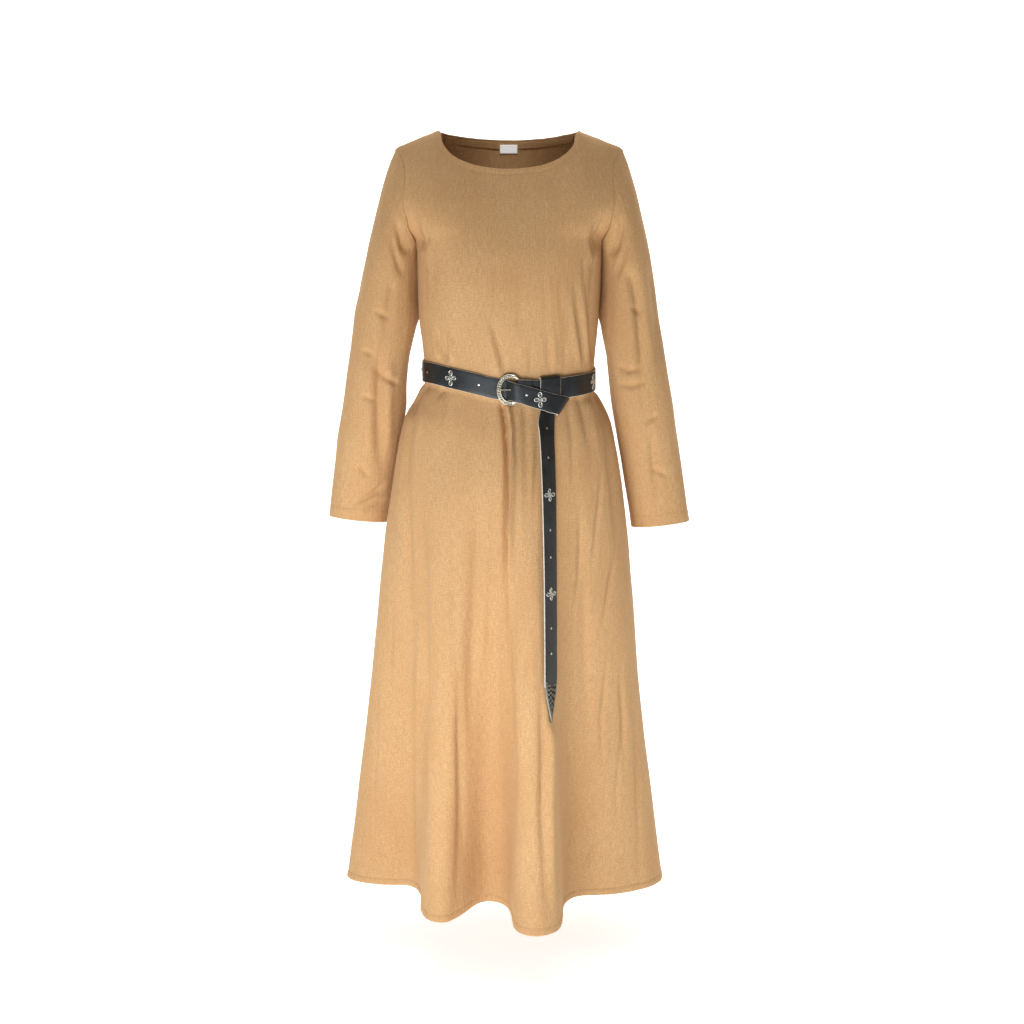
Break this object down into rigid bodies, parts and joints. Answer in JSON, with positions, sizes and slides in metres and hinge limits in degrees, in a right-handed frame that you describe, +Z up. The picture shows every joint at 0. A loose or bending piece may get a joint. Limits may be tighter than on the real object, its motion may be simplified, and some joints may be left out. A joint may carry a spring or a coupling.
{
  "type": "medieval underdress with belt",
  "caption": "Long-sleeved, wide-necked woven underdress, filled out as if worn, with a knotted leather belt that has a ring buckle and a metal-tipped hanging end.",
  "frame": {"origin": "midway between the two neck points of the shoulder seams, where the wearer's shoulders carry the dress", "axes": "+Z up, the front looks along -Y, +X to the right of someone facing the front"},
  "size_m": [0.6435, 0.4972, 1.3361],
  "materials": {
    "dress_cloth": "matt plain-woven linen-look cloth, camel",
    "neck_label": "smooth woven tape, bare",
    "belt_leather": "smooth black grain, natural pale cut edges",
    "belt_metal": "cast white metal, antique silver"
  },
  "bodies": {
    "root": {"dress_front": "dress_cloth", "dress_back": "dress_cloth", "sleeve_left": "dress_cloth", "sleeve_right": "dress_cloth", "neck_facing": "dress_cloth", "neck_label": "neck_label", "belt_loop": "belt_leather", "belt_crossing": "belt_leather", "belt_tail": "belt_leather", "buckle_ring": "belt_metal", "buckle_prong": "belt_metal", "strap_end": "belt_metal", "belt_mount_1": "belt_metal", "belt_mount_2": "belt_metal", "belt_mount_3": "belt_metal", "belt_mount_4": "belt_metal", "belt_mount_5": "belt_metal", "belt_mount_6": "belt_metal", "belt_mount_7": "belt_metal", "belt_mount_8": "belt_metal"}
  },
  "joints": []
}
